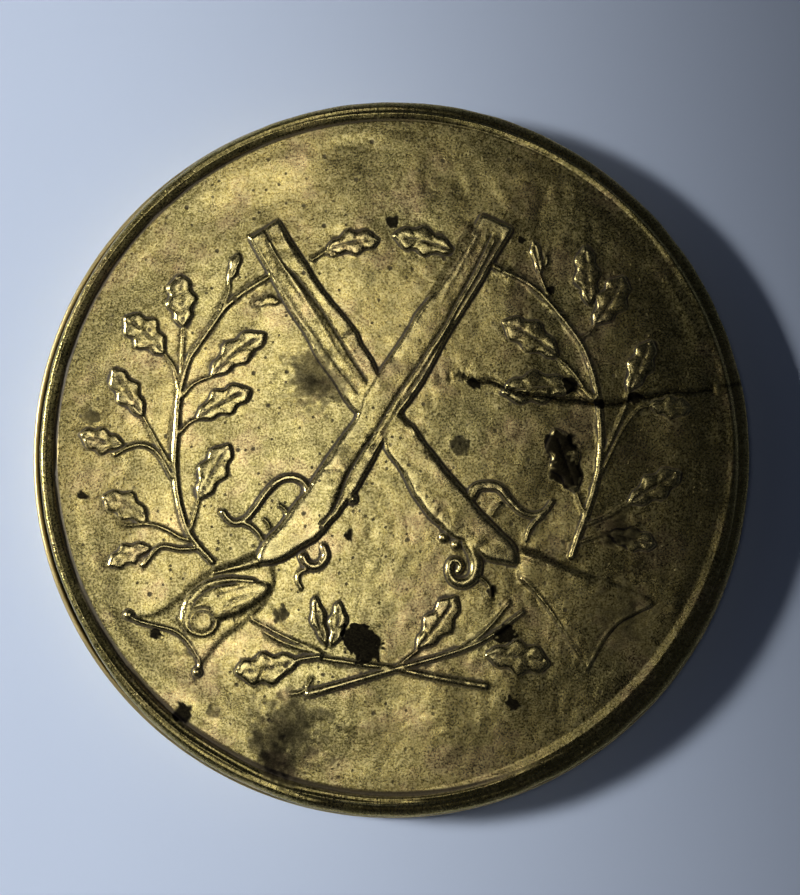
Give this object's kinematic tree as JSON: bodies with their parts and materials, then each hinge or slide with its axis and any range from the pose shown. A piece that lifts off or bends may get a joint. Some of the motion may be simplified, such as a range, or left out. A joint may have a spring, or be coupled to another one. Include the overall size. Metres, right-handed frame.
{
  "type": "stamped brass medal",
  "caption": "Round hollow brass medal: a stamped face with crossed target rifles in an oak wreath, closed over packing into a shallow back with an upturned lip.",
  "frame": {"origin": "middle of the flat back, on the plane that the medal lies on", "axes": "+Z out of the struck face, +Y to the top of the design, +X to its right"},
  "size_m": [0.04, 0.04, 0.0032],
  "materials": {
    "face_brass": "aged stamped brass: olive-gold tarnish, dark grime in the hollows, bright worn relief, pits and spots",
    "pasteboard": "grey-brown pressed pasteboard",
    "back_brass": "plain aged brass sheet with a lightly rubbed lip"
  },
  "bodies": {
    "root": {"face_shell": "face_brass", "packing_disc": "pasteboard", "back_shell": "back_brass"}
  },
  "joints": []
}
